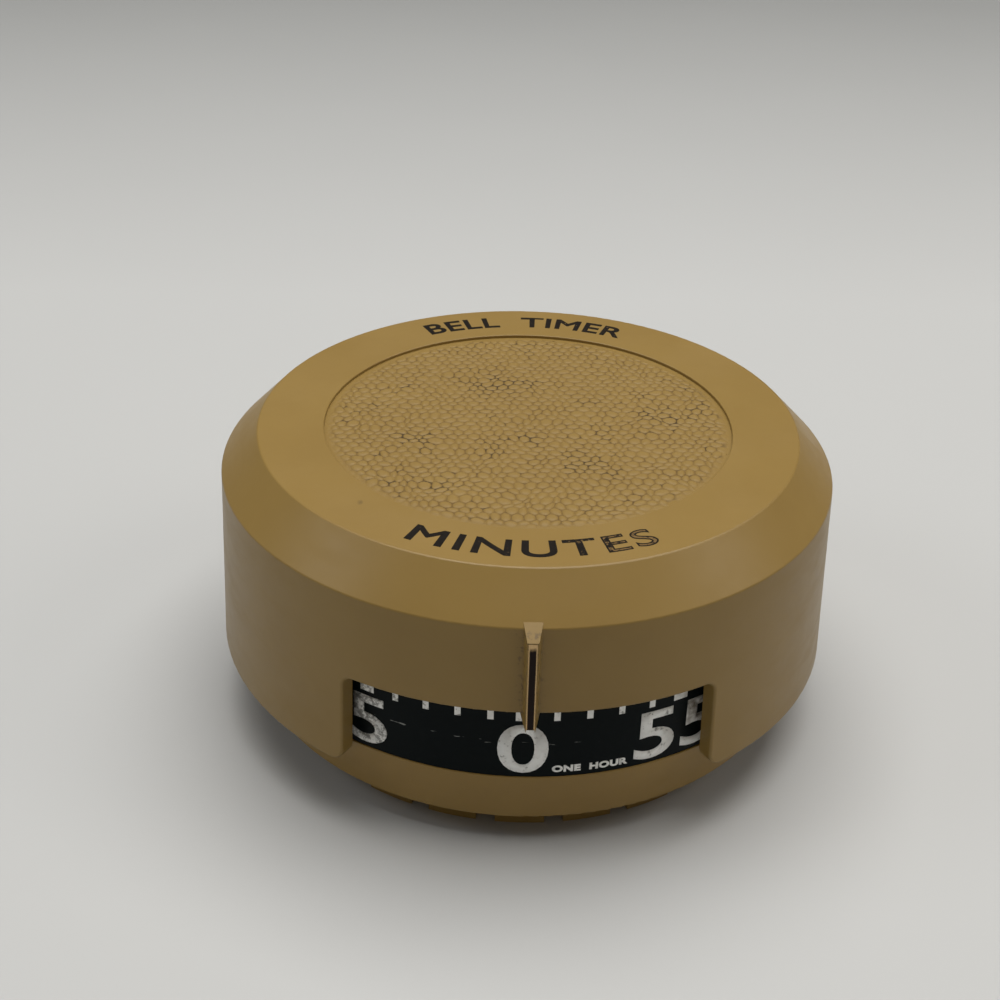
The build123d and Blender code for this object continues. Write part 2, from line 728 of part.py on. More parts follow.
def make_hammer_finger():
    finger = strap(hammer_at, finger_end(), finger_r, finger_z, finger_z + lever_t)
    finger += disc(pivot_r + 1.2, finger_z, finger_z + lever_t, hammer_at)
    return finger - disc(pivot_r, 0, height, hammer_at)


# ---- click and release lever ---------------------------------------------------------------
click_turn = -60.0          # where the click's nose meets the ratchet
click_step = 360 / ratchet_teeth
click_nose = round(click_turn / click_step) * click_step - 2.0
click_pivot_at = polar(click_r, click_nose - 38)
click_stud_r = 0.7
leaf_post_at = polar(click_r + 0.6, click_nose + 44)


def make_click():
    points = [polar(ratchet_r - 0.7, click_nose), polar(ratchet_r + 0.35, click_nose - 8),
              polar(ratchet_r + 0.9, click_nose - 34), polar(click_r + 0.9, click_nose - 38),
              polar(ratchet_r + 2.2, click_nose - 14), polar(ratchet_r + 0.6, click_nose - 1)]
    click = plate_of(points, ratchet_z, ratchet_z + ratchet_t)
    click += disc(1.3, ratchet_z, ratchet_z + ratchet_t, click_pivot_at)
    return click - disc(click_stud_r + fit_play, 0, height, click_pivot_at)


def make_wheel_studs():
    """The click's pivot, with a head over it, and the post that holds the click's leaf."""
    low = main_wheel_z + wheel_t
    pivot = disc(click_stud_r, low, ratchet_z + ratchet_t + end_play, click_pivot_at)
    pivot += disc(1.1, ratchet_z + ratchet_t + end_play, ratchet_z + ratchet_t + 0.4, click_pivot_at)
    post = disc(0.7, low, ratchet_z + ratchet_t, leaf_post_at)
    return Compound([pivot, post])


def leaf(points, half_width, low, high):
    """A thin bent strip through a few points."""
    strip = strap(points[0], points[1], half_width, low, high)
    for start, end in zip(points[1:], points[2:]):
        strip += strap(start, end, half_width, low, high)
    return strip


def make_click_spring():
    points = [leaf_post_at, polar(click_r + 0.3, click_nose + 18), polar(ratchet_r + 2.6, click_nose - 12)]
    strip = leaf(points, 0.15, ratchet_z + 0.1, ratchet_z + ratchet_t - 0.1)
    strip += disc(1.1, ratchet_z + 0.1, ratchet_z + ratchet_t - 0.1, leaf_post_at)
    return strip - disc(0.7, 0, height, leaf_post_at)


lever_stud_r = 0.9
stop_pin_at = polar(stop_r, (360 - stop_free_turn) / 2)
leaf_stud_r = 0.7
leaf_stud_at = (lever_pivot[0] - 8.5, lever_pivot[1] + 4.0)


def lever_point(share):
    """A point on the lever's centre line, from its pivot to its tail."""
    return (lever_pivot[0] + share * (lever_tail[0] - lever_pivot[0]),
            lever_pivot[1] + share * (lever_tail[1] - lever_pivot[1]))


def make_release_lever():
    low, high = cam_z + 0.1, cam_z + lever_t + 0.1
    share = -lever_pivot[1] / (lever_tail[1] - lever_pivot[1])
    lever = strap(lever_pivot, lever_tail, lever_half_w, low, high)
    lever += strap(lever_point(share), (-(cam_r + nose_play + nose_r), 0), nose_r, low, high)
    lever += disc(lever_stud_r + 1.2, low, high, lever_pivot)
    return lever - disc(lever_stud_r + fit_play, 0, height, lever_pivot)


def make_lever_stud():
    head_z = cam_z + lever_t + 0.2
    stud = disc(lever_stud_r, roof_plate_z, head_z, lever_pivot)
    stud += disc(lever_stud_r + 0.8, top_deck_z, cam_z, lever_pivot)
    return stud + disc(lever_stud_r + 0.5, head_z, head_z + 0.3, lever_pivot)


def make_lever_spring():
    side = degrees(atan2(lever_tail[1] - lever_pivot[1], lever_tail[0] - lever_pivot[0])) + 90
    x, y = polar(lever_half_w + 0.25, side)
    touch = lever_point(0.6)
    points = [leaf_stud_at, (leaf_stud_at[0] + 0.6, leaf_stud_at[1] + 4.0), (touch[0] + x, touch[1] + y)]
    strip = leaf(points, 0.15, cam_z + 0.2, cam_z + lever_t)
    strip += disc(1.2, cam_z + 0.2, cam_z + lever_t, leaf_stud_at)
    return strip - disc(leaf_stud_r, 0, height, leaf_stud_at)


def make_leaf_stud():
    return disc(leaf_stud_r, roof_plate_z, cam_z + lever_t, leaf_stud_at)


def make_stop_pin():
    return disc(stop_pin_r, roof_plate_z, stop_z + stop_arm_t + 0.2, stop_pin_at)


parts = {
    "cap": make_cap(),
    "pointer_stripe": make_stripe(),
    "hub_clip": make_hub_clip(),
    "main_arbor": make_main_arbor(),
    "ratchet_wheel": make_ratchet_wheel(),
    "release_cam": make_release_cam(),
    "stop_arm": make_stop_arm(),
    "mainspring": make_mainspring(),
    "base_housing": make_base(),
    "number_band": make_number_band(),
    "gong": make_gong(),
    "gong_screw": make_gong_screw(),
    "bottom_plate": make_bottom_plate(),
    "top_plate": make_top_plate(),
    "plate_pillars": make_pillars(),
    "lower_pillar_screws": make_pillar_screws(True),
    "upper_pillar_screws": make_pillar_screws(False),
    "mounting_screws": make_mounting_screws(),
    "spring_post": make_spring_post(),
    "main_wheel": make_main_wheel(),
    "main_wheel_studs": make_wheel_studs(),
    "click": make_click(),
    "click_spring": make_click_spring(),
    "second_arbor": arbor(second_at),
    "second_pinion": pinion(second_pinion_teeth, main_module, main_teeth, 0, main_at, second_at,
                            main_wheel_z, wheel_t),
    "second_wheel": make_second_wheel(),
    "third_arbor": arbor(third_at),
    "third_pinion": pinion(third_pinion_teeth, second_module, second_teeth, 0, second_at, third_at,
                           top_wheel_z, thin_wheel_t),
    "third_wheel": make_third_wheel(),
    "escape_arbor": arbor(escape_at),
    "escape_pinion": pinion(escape_pinion_teeth, third_module, third_teeth, 0, third_at, escape_at,
                            third_wheel_z, thin_wheel_t),
    "escape_wheel": make_escape_wheel(),
    "verge_arbor": arbor(verge_at),
    "verge_lever": make_verge(),
    "verge_pins": make_pins(verge_at, escape_at),
    "verge_weights": make_weights(),
    "strike_arbor": arbor(strike_at),
    "strike_pinion": pinion(strike_pinion_teeth, second_module, second_teeth, 0, second_at,
                            strike_at, top_wheel_z, thin_wheel_t),
    "star_wheel": make_star_wheel(),
    "hammer_arbor": arbor(hammer_at, cam_lift + lever_t),
    "hammer_arm": make_hammer_arm(),
    "hammer_pins": make_pins(hammer_at, strike_at),
    "hammer_rod": make_hammer_rod(),
    "hammer_head": make_hammer_head(),
    "hammer_finger": make_hammer_finger(),
    "release_lever": make_release_lever(),
    "lever_stud": make_lever_stud(),
    "lever_spring": make_lever_spring(),
    "leaf_stud": make_leaf_stud(),
    "stop_pin": make_stop_pin(),
}

os.makedirs("parts", exist_ok=True)
for name, shape in parts.items():
    export_step(shape, f"parts/{name}.step")

print("main module", round(main_module, 4), "plate radius", round(plate_r, 2))
pivots = {"second": second_at, "third": third_at, "escape": escape_at, "verge": verge_at,
          "strike": strike_at, "hammer": hammer_at, "click": click_pivot_at,
          "release_lever": lever_pivot}
for name, at in pivots.items():
    print(f"pivot {name} {at[0]:.5f} {at[1]:.5f}")
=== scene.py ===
# %% [markdown]
# # A clockwork kitchen timer
# The timer is a low round knob of mustard plastic. The whole cap turns over a black band with
# white minutes, and a rib with a bright strip points at them through an arched window. The solid
# parts come ready made from the CAD model. What is added here is what makes them look real: the
# pebbled grip on top, the printed numbers, the filled lettering, and a finish on every part.

# %% Load the solid parts
import random
from math import ceil, cos, hypot, pi, radians, sin, sqrt

import bmesh
import bpy
from mathutils import Matrix, Vector, noise as noises


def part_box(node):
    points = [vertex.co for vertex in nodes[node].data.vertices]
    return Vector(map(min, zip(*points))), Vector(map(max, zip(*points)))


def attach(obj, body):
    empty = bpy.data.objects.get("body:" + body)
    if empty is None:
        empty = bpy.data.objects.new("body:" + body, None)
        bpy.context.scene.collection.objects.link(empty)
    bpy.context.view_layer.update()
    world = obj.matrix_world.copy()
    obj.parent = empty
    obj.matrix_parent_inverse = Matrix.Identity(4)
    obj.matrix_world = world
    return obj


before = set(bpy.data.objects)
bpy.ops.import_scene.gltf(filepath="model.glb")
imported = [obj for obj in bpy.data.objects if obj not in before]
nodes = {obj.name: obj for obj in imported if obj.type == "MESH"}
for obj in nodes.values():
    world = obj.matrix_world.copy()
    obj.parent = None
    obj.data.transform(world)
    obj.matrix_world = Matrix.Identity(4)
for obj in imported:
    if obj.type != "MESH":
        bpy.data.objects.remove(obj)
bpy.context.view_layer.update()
mm = 0.001
print("parts", len(nodes))

# %% [markdown]
# ## The camera
# The timer is seen from in front and above, a little from the left of its pointer. A lens of
# 59 mm on a full frame keeps the round edges from bulging. The camera is turned in four simple
# steps, so each angle means one thing: how far it looks down, then a small pan, tilt and roll.

# %% Camera
camera_azimuth = -2.0      # degrees from the pointer, seen from above
looks_down = 29.03
pan, tilt, roll = -0.888, 1.6126, -1.9645
camera_reach = 233.46 * mm  # from the middle of the cap's bevel edge
bevel_edge_z = 37.2 * mm


def turn(degrees, axis):
    """A turn about one axis, as a matrix."""
    return Matrix.Rotation(radians(degrees), 4, axis)


stand = Matrix.Translation((0, -camera_reach * cos(radians(looks_down)),
                            bevel_edge_z + camera_reach * sin(radians(looks_down))))
aim = turn(90 - looks_down, "X") @ turn(-pan, "Y") @ turn(-tilt, "X") @ turn(-roll, "Z")
bpy.ops.object.camera_add()
camera = bpy.context.object
camera.matrix_world = turn(camera_azimuth, "Z") @ stand @ aim
camera.data.lens = 58.98
camera.data.sensor_width = 36.0
camera.data.clip_start, camera.data.clip_end = 0.01, 20.0
bpy.context.scene.camera = camera
print("camera at", [round(v / mm, 1) for v in camera.matrix_world.translation], "mm")

# %% [markdown]
# ## The table and the light
# The timer stands on a pale sheet that curves up behind it. A plane gives the table, and its back
# edge is extruded up and bevelled into a sweep, so there is no corner line. The light is a large
# soft box high above, with a weak one on each side, and a dim warm sky fills the shadows.

# %% Table and sweep
def start():
    """Object mode, with nothing selected."""
    if bpy.context.object and bpy.context.object.mode != "OBJECT":
        bpy.ops.object.mode_set(mode="OBJECT")
    bpy.ops.object.select_all(action="DESELECT")


def edit(piece, mode="FACE"):
    """Edit mode on one piece, with nothing selected in it."""
    bpy.context.view_layer.objects.active = piece
    bpy.ops.object.mode_set(mode="EDIT")
    bpy.ops.mesh.select_mode(type=mode)
    bpy.ops.mesh.select_all(action="DESELECT")
    return bmesh.from_edit_mesh(piece.data)


sheet_wide, sweep_tall, sweep_round = 3.0, 1.6, 0.7
near_back = sheet_wide / 3       # only the back edge lies beyond this y
start()
bpy.ops.mesh.primitive_plane_add(size=sheet_wide, location=(0, 0, 0))
table = bpy.context.object
table.name = "table_sweep"
mesh = edit(table, "EDGE")
for edge in mesh.edges:
    edge.select = all(v.co.y > near_back for v in edge.verts)
bmesh.update_edit_mesh(table.data)
bpy.ops.mesh.extrude_region_move(TRANSFORM_OT_translate={"value": (0, 0, sweep_tall)})
mesh = bmesh.from_edit_mesh(table.data)
for edge in mesh.edges:
    edge.select = all(v.co.y > near_back and abs(v.co.z) < mm for v in edge.verts)
bmesh.update_edit_mesh(table.data)
bpy.ops.mesh.bevel(offset=sweep_round, segments=16)
bpy.ops.object.mode_set(mode="OBJECT")
bpy.ops.object.shade_smooth()
print("sweep faces", len(table.data.polygons))

# %% Lights
def softbox(name, place, look_at, size, power, tint):
    """A square area light turned towards a point."""
    bpy.ops.object.light_add(type="AREA", location=place)
    lamp = bpy.context.object
    lamp.name = name
    lamp.data.size, lamp.data.energy, lamp.data.color = size, power, tint
    away = lamp.location - Vector(look_at)
    lamp.rotation_euler = away.to_track_quat("Z", "Y").to_euler()


softbox("overhead_box", (0.06, 0.16, 1.05), (0, 0.02, 0), 1.0, 14.3, (1.0, 0.985, 0.955))
softbox("right_box", (0.85, -0.08, 0.72), (0, 0, 0.02), 0.4, 1.65, (1.0, 0.95, 0.88))
softbox("left_box", (-0.85, -0.08, 0.72), (0, 0, 0.02), 0.4, 1.45, (0.93, 0.97, 1.0))
world = bpy.data.worlds.new("pale_room")
bpy.context.scene.world = world
world.use_nodes = True
sky = world.node_tree.nodes["Background"]
sky.inputs["Color"].default_value = (1.0, 0.96, 0.9, 1)
sky.inputs["Strength"].default_value = 0.16
bpy.context.scene.view_settings.view_transform = "Standard"

# %% [markdown]
# ## A short way to write shader maths
# A finish is a sum of small patterns. Wired one by one in the editor they are hard to read, so a
# tiny class wraps a node's output: `mask * 0.5 + 1` then adds the Math nodes by itself. Every
# other node comes from one method, which sets the node's own settings before its sockets.

# %% The wire class
class Wire:
    """One output of a shader node, ready to be used in sums."""

    def __init__(self, tree, socket=None):
        self.tree, self.socket = tree, socket

    def node(self, kind, settings=None, sockets=None, out=0):
        """Any node of that kind: its own settings first, then its sockets' values or links."""
        made = self.tree.nodes.new("ShaderNode" + kind)
        for name, value in (settings or {}).items():
            setattr(made, name, value)
        for name, value in (sockets or {}).items():
            if isinstance(value, Wire):
                self.tree.links.new(value.socket, made.inputs[name])
            else:
                made.inputs[name].default_value = value
        return Wire(self.tree, made.outputs[out])

    def output(self, index):
        """Another output of the same node."""
        return Wire(self.tree, self.socket.node.outputs[index])

    def math(self, operation, other=0.0):
        """A Math node that takes this value first."""
        return self.node("Math", {"operation": operation}, {0: self, 1: other})

    def __add__(self, other): return self.math("ADD", other)
    def __sub__(self, other): return self.math("SUBTRACT", other)
    def __mul__(self, other): return self.math("MULTIPLY", other)
    def __lt__(self, other): return self.math("LESS_THAN", other)
    __radd__, __rmul__ = __add__, __mul__

    def __rsub__(self, other):
        return self.node("Math", {"operation": "SUBTRACT"}, {0: other, 1: self})

    def between(self, low, high):
        """The value stretched so that low gives 0 and high gives 1, and cut there."""
        return self.node("MapRange", {}, {"Value": self, "From Min": low, "From Max": high})

    def blend(self, first, second):
        """A colour between two, with this value as the share of the second."""
        return self.node("Mix", {"data_type": "RGBA"}, {0: self, 6: first, 7: second}, out=2)

    def parts(self):
        """The three parts of a vector."""
        split = self.node("SeparateXYZ", {}, {"Vector": self})
        return [split.output(i) for i in range(3)]


def finish(name):
    """A new material: itself, a wire for the object's own coordinates, and its shader."""
    material = bpy.data.materials.new(name)
    material.use_nodes = True
    tree = material.node_tree
    shader = next(n for n in tree.nodes if n.type == "BSDF_PRINCIPLED")
    return material, Wire(tree).node("TexCoord", out=3), shader


def wire_up(shader, **sockets):
    """Sets or links the shader's sockets; underscores stand for the spaces in their names."""
    for name, value in sockets.items():
        socket = shader.inputs[name.replace("_", " ")]
        if isinstance(value, Wire):
            value.tree.links.new(value.socket, socket)
        else:
            socket.default_value = value


def noise(place, size, detail, rough=0.5):
    """Soft noise whose blobs are about that many metres across."""
    return place.node("TexNoise", {}, {"Vector": place, "Scale": 1 / size, "Detail": detail,
                                       "Roughness": rough})


def voronoi(place, size):
    """Random cells about that many metres apart. Output 1 is each cell's own colour."""
    return place.node("TexVoronoi", {"feature": "F1"}, {"Vector": place, "Scale": 1 / size})


def stretched(place, x, y, z):
    """The coordinates scaled: how often a pattern repeats in a metre along each axis."""
    return place.node("Mapping", {}, {"Vector": place, "Scale": (x, y, z)})


def bump(height, depth, strength):
    """A normal from a height whose full swing is that many metres."""
    return height.node("Bump", {}, {"Height": height, "Distance": depth, "Strength": strength})


print("wire class ready")

# %% [markdown]
# ## The mustard plastic
# The cap and the base are moulded in one satin plastic, but the base is given a lighter copy of
# its mustard: painted light that stands in for bounce light the base lacks. New plastic is even,
# but this timer has been handled: there is a faint mottle, rare brown flecks, fine scuffs that
# change the gloss and not the colour, and grime that gathers beside the rib. The patterns read the
# object's own coordinates, so they stay put when the cap turns.

# %% Plastic finish
mustard = (0.252, 0.160, 0.043, 1)
mustard_dark = (0.208, 0.127, 0.030, 1)
# Painted light: the base's mustard is a lighter copy of the cap's, standing in for bounce light
base_mustard_painted_lighter = (0.295, 0.182, 0.046, 1)
grime = (0.075, 0.045, 0.018, 1)


def flecks(place, size, share):
    """Rare small spots: a mask that is 1 in them."""
    cells = voronoi(place, size)
    chosen = cells.output(1).parts()[0].between(1 - share, 1 - share + 0.002)
    edge = noise(place, size * 0.2, 2.0)
    return chosen * (cells + edge * 0.2).between(0.24, 0.16)


def plastic(name, shade, rib_grime=0.0):
    """The satin plastic in that shade; rib_grime is how dark the dirt beside the rib is."""
    material, place, shader = finish(name)
    cloudy = noise(place, 14 * mm, 4.0)
    mottle = noise(place, 2.2 * mm, 4.0)
    share = cloudy.between(0.35, 0.65) * 0.28 + mottle.between(0.3, 0.7) * 0.1
    colour = share.blend(shade, mustard_dark)
    spots = flecks(place, 5.5 * mm, 0.02)
    if rib_grime:
        x, y, z = place.parts()
        smudge = noise(place, 0.7 * mm, 5.0, 0.7)
        beside = (x + 0.2 * mm).math("ABSOLUTE").between(2.4 * mm, 0.9 * mm)
        beside = beside * (y < -20 * mm) * z.between(37.6 * mm, 37.0 * mm)
        rib_dust = (smudge + beside * 0.1).between(0.6, 0.7) * beside
        spots = spots.math("MAXIMUM", rib_dust * rib_grime)
    colour = (spots * 0.8).blend(colour, grime)
    scuffs = noise(stretched(place, 60, 60, 240), 1.0, 3.0, 0.7)
    gloss = 0.33 + scuffs.between(0.45, 0.8) * 0.1 + mottle * 0.07
    ripple = noise(place, 0.9 * mm, 2.0) * 0.7 + noise(place, 0.22 * mm, 2.0) * 0.3
    wire_up(shader, Base_Color=colour, Roughness=gloss, Normal=bump(ripple, 0.012 * mm, 0.6),
            Specular_IOR_Level=0.35)
    return material


cap_plastic = plastic("cap_plastic", mustard, rib_grime=0.75)
base_plastic = plastic("base_plastic", base_mustard_painted_lighter)
print("plastic", cap_plastic.name, base_plastic.name)

# %% [markdown]
# ## The metals inside
# Nobody sees the movement until the cap is lifted, but each kind of part still has its own look:
# stamped brass wheels with a fine circular grain, turned steel arbors with rings along them,
# zinc-plated plates with a crystal mottle, blued springs, and a nickel bell with smudges.

# %% Metal finishes
def metal(name, light, dark, gloss, grain):
    """A metal with tarnish between two shades. grain picks the pattern of its surface."""
    material, place, shader = finish(name)
    tarnish = noise(place, 6 * mm, 5.0, 0.6)
    if grain == "turned":
        lines = noise(stretched(place, 40, 40, 9000), 1.0, 2.0)
    elif grain == "rolled":
        lines = noise(stretched(place, 300, 6000, 300), 1.0, 2.0)
    elif grain == "plated":
        lines = voronoi(place, 1 / 900).output(1).parts()[0]
    else:
        x, y, z = place.parts()
        reach = (x * x + y * y).math("SQRT")
        rings = place.node("CombineXYZ", {}, {0: reach * 9000.0, 1: z * 300.0, 2: 0.0})
        lines = noise(rings, 1.0, 2.0)
    share = tarnish.between(0.35, 0.7) * 0.7 + lines.between(0.3, 0.7) * 0.3
    smudge = noise(place, 2.5 * mm, 4.0, 0.7).between(0.5, 0.75)
    wire_up(shader, Base_Color=share.blend(light, dark), Metallic=1.0,
            Roughness=gloss + smudge * 0.16 + lines * 0.08, Normal=bump(lines, 0.01 * mm, 0.5))
    return material


metals = {}
for name, light, dark, gloss, grain in (
        ("stamped_brass", (0.72, 0.50, 0.20), (0.42, 0.27, 0.10), 0.26, "spun"),
        ("turned_brass", (0.76, 0.54, 0.22), (0.46, 0.30, 0.11), 0.2, "turned"),
        ("turned_steel", (0.60, 0.59, 0.57), (0.38, 0.37, 0.35), 0.24, "turned"),
        ("zinc_plate", (0.62, 0.62, 0.60), (0.44, 0.44, 0.43), 0.34, "plated"),
        ("plated_screws", (0.66, 0.65, 0.62), (0.44, 0.43, 0.40), 0.28, "turned"),
        ("blued_spring", (0.10, 0.12, 0.19), (0.04, 0.045, 0.07), 0.24, "rolled"),
        ("nickel_bell", (0.70, 0.68, 0.64), (0.50, 0.48, 0.44), 0.12, "spun")):
    metals[name] = metal(name, (*light, 1), (*dark, 1), gloss, grain)
print("metals", list(metals))

# %% [markdown]
# ## The pointer's strip
# The rib carries a narrow gilt strip with a line of dark lacquer down its middle. The lacquer
# has worn off at the top end, where a finger pushes. The strip stands upright at the pointer, so
# the distance from its middle is simply the X coordinate.

# %% Strip finish
strip_low, strip_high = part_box("pointer_stripe")
gilt, place, shader = finish("gilt_strip")
x, _, z = place.parts()
nicks = noise(stretched(place, 700, 700, 250), 1.0, 4.0, 0.6)
half_line, ragged = 0.41 * mm, 0.1 * mm
line = (x.math("ABSOLUTE") + nicks * ragged).between(half_line + ragged, half_line)
thumbed = (z + nicks * 0.8 * mm).between(strip_high.z - 0.75 * mm, strip_high.z - 0.1 * mm)
lacquer = line * (1 - thumbed) * nicks.between(0.74, 0.7)
wire_up(shader, Base_Color=lacquer.blend((0.50, 0.34, 0.17, 1), (0.013, 0.006, 0.004, 1)),
        Metallic=1 - lacquer, Roughness=0.2 + nicks * 0.12, Normal=bump(nicks, 0.01 * mm, 0.4),
        Specular_IOR_Level=0.1)
print("strip", round((strip_high.z - strip_low.z) / mm, 2), "mm long")

# %% [markdown]
# ## The black band
# The minutes are printed on a smooth black strip round the base. Years of turning have left a
# faint line of pale dashes where something inside the cap rubs, and pinhole scuffs elsewhere.

# %% Band finish
band_low, band_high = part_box("number_band")
band_radius = (band_high.x - band_low.x) / 2
rub_height = 17.7 * mm
band_black, place, shader = finish("band_black")
worn = noise(stretched(place, 420, 420, 2600), 1.0, 2.0, 0.6)
rub_line = (place.parts()[2] - rub_height).math("ABSOLUTE").between(0.4 * mm, 0.15 * mm)
dashes = rub_line * worn.between(0.655, 0.69)
pinholes = flecks(place, 1.6 * mm, 0.025)
dust = noise(place, 1.0 * mm, 5.0, 0.7).between(0.45, 0.85)
marks = (dashes * 0.8).math("MAXIMUM", pinholes * 0.5)
inked = (dust * 0.25).blend((0.0025, 0.0048, 0.0052, 1), (0.010, 0.013, 0.014, 1))
wire_up(shader, Base_Color=marks.blend(inked, (0.36, 0.37, 0.35, 1)),
        Roughness=0.3 + dust * 0.15, Normal=bump(noise(place, 1.5 * mm, 3.0), 0.01 * mm, 0.4),
        Specular_IOR_Level=0.06)
print("band radius", round(band_radius / mm, 2), "mm")

# %% [markdown]
# ## A finish for every solid part
# Each finish lists the parts that wear it. Whatever is left over is turned steel.

# %% Put the finishes on the solid parts
wearers = (
    (cap_plastic, ["cap"]),
    (base_plastic, ["base_housing"]),
    (band_black, ["number_band"]),
    (gilt, ["pointer_stripe"]),
    (metals["nickel_bell"], ["gong"]),
    (metals["turned_brass"], ["hammer_head"]),
    (metals["blued_spring"], ["hub_clip", "mainspring", "click_spring", "lever_spring"]),
    (metals["zinc_plate"], ["bottom_plate", "top_plate", "hammer_arm", "hammer_finger",
                            "release_lever"]),
    (metals["stamped_brass"], ["main_wheel", "second_wheel", "third_wheel", "escape_wheel",
                               "star_wheel", "release_cam", "verge_lever", "verge_weights"]),
    (metals["plated_screws"], ["gong_screw", "lower_pillar_screws", "upper_pillar_screws",
                               "mounting_screws"]),
)
finishes = {name: worn for worn, names in wearers for name in names}
for name, part in nodes.items():
    part.data.materials.clear()
    part.data.materials.append(finishes.get(name, metals["turned_steel"]))
print("steel parts", sorted(set(nodes) - set(finishes)))

# %% [markdown]
# ## The pebbled grip
# The sunk panel is covered with small rounded pebbles, about a millimetre and a half across, which
# stop a wet thumb from slipping. They are modelled: one hexagon is copied into a honeycomb, its
# corners are shaken so that no two cells match, and each cell is inset and raised twice. A level
# of subdivision rounds them. A bump pattern would be lighter, but it has no real relief at the
# edge of the panel. The grooves are darkened with painted shade and hold dirt in patches, and a
# low place is easy to find: it has a small Z.

# %% Honeycomb
cap_points = [v.co for v in nodes["cap"].data.vertices]
top_z = max(p.z for p in cap_points)
level = 0.001 * mm               # heights closer than this count as the same
ring_inside = min(hypot(p.x, p.y) for p in cap_points if top_z - p.z < level)
in_panel = [p for p in cap_points if hypot(p.x, p.y) < ring_inside and top_z - p.z < 1 * mm]
panel_z = min(p.z for p in in_panel)
panel_radius = max(hypot(p.x, p.y) for p in in_panel if p.z - panel_z < level)
print("panel radius", round(panel_radius / mm, 2), "depth", round((top_z - panel_z) / mm, 2))

pebble = 1.5 * mm
side = pebble / sqrt(3)
start()
bpy.ops.mesh.primitive_circle_add(vertices=6, radius=side, fill_type="NGON", location=(0, 0, 0))
pebbles = bpy.context.object
pebbles.name = "pebbled_grip"
edit(pebbles)
bpy.ops.mesh.select_all(action="SELECT")
bpy.ops.mesh.duplicate()
bpy.ops.transform.translate(value=(pebble / 2, 1.5 * side, 0))
bpy.ops.object.mode_set(mode="OBJECT")
for step, count in (((pebble, 0, 0), ceil(2 * panel_radius / pebble) + 6),
                    ((0, 3 * side, 0), ceil(2 * panel_radius / (3 * side)) + 4)):
    array = pebbles.modifiers.new("rows", "ARRAY")
    array.use_relative_offset, array.use_constant_offset = False, True
    array.constant_offset_displace, array.count = step, count
    bpy.ops.object.modifier_apply(modifier="rows")
edit(pebbles)
bpy.ops.mesh.select_all(action="SELECT")
bpy.ops.mesh.remove_doubles(threshold=side * 0.1)
to_corner = -panel_radius - 3 * pebble
bpy.ops.transform.translate(value=(to_corner, to_corner, panel_z))
bpy.ops.object.mode_set(mode="OBJECT")
print("honeycomb cells", len(pebbles.data.polygons))

# %% Shake the honeycomb
seed = 11                        # set for both, so that each run gives the same pebbles
chance = random.Random(seed)
noises.seed_set(seed)
drift_share, swirl_share, swirl_size = 0.13, 0.5, 8 * mm
mesh = edit(pebbles)
pushes = {corner: Vector() for corner in mesh.verts}
for face in mesh.faces:
    middle = face.calc_center_median()
    growth = chance.uniform(-0.15, 0.12)
    drift = Vector((chance.uniform(-1, 1), chance.uniform(-1, 1), 0)) * drift_share * pebble
    for corner in face.verts:
        pushes[corner] += (corner.co - middle) * growth + drift
for corner, push in pushes.items():
    swirl = noises.noise_vector(corner.co / swirl_size) * swirl_share * pebble
    corner.co += push + Vector((swirl.x, swirl.y, 0))
for face in mesh.faces:
    face.select = face.calc_center_median().xy.length > panel_radius
bmesh.update_edit_mesh(pebbles.data)
bpy.ops.mesh.delete(type="FACE")
mesh = bmesh.from_edit_mesh(pebbles.data)
pebble_edge = panel_radius - 0.06 * mm
for corner in mesh.verts:
    corner.co.xy *= min(1.0, pebble_edge / max(corner.co.xy.length, mm))
bmesh.update_edit_mesh(pebbles.data)
print("cells kept", len(mesh.faces))

# %% Raise the pebbles
bpy.ops.mesh.select_all(action="SELECT")
for inwards, upwards in ((0.1 * mm, 0.13 * mm), (0.26 * mm, 0.065 * mm)):
    bpy.ops.mesh.inset(use_individual=True, thickness=inwards, depth=upwards)
bpy.ops.object.mode_set(mode="OBJECT")
rounding = pebbles.modifiers.new("rounding", "SUBSURF")
rounding.levels = rounding.render_levels = 1
bpy.ops.object.modifier_apply(modifier="rounding")
bpy.ops.object.shade_smooth()
flat_edge, fade = 0.2 * mm, 1.4 * mm     # the relief fades out towards the panel's wall
sunk, clear = 0.03 * mm, 0.01 * mm       # below the panel at the edge, above it elsewhere
for corner in pebbles.data.vertices:
    from_edge = panel_radius - hypot(corner.co.x, corner.co.y)
    share = min(max((from_edge - flat_edge) / fade, 0.0), 1.0)
    corner.co.z = panel_z - sunk + (corner.co.z - panel_z + sunk + clear) * share
pebble_top = max(v.co.z for v in pebbles.data.vertices)
print("pebble relief", round((pebble_top - panel_z) / mm, 3), "triangles",
      sum(len(p.vertices) - 2 for p in pebbles.data.polygons))

# %% Grip finish
material, place, shader = finish("grip_plastic")
x, y, z = place.parts()
reach = (x * x + y * y).math("SQRT")
deep = z.between(panel_z + 0.1 * mm, panel_z + 0.05 * mm) * reach.between(
    panel_radius - 0.5 * mm, panel_radius - 2.0 * mm)
patchy = noise(place, 8 * mm, 2.0)
dirty = noise(place, 1.5 * mm, 4.0, 0.7)
caked = (patchy * 0.55 + dirty * 0.45).between(0.54, 0.62)
cloudy = noise(place, 12 * mm, 4.0)
crown = (cloudy.between(0.35, 0.65) * 0.3).blend(mustard, mustard_dark)
faint = noise(place, 3 * mm, 3.0).between(0.3, 0.7)
# Painted shade: every groove between the pebbles is darkened, unevenly; the caked patches below
# are dirt
groove_shade = (deep * (0.25 + faint * 0.55)).blend(crown, (0.09, 0.048, 0.011, 1))
colour = (deep * caked * 0.9).blend(groove_shade, (0.02, 0.011, 0.004, 1))
wire_up(shader, Base_Color=colour, Roughness=0.5 + deep * 0.25,
        Normal=bump(noise(place, 0.25 * mm, 2.0), 0.008 * mm, 0.5), Specular_IOR_Level=0.28)
pebbles.data.materials.append(material)
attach(pebbles, "dial")
print("grip finished")

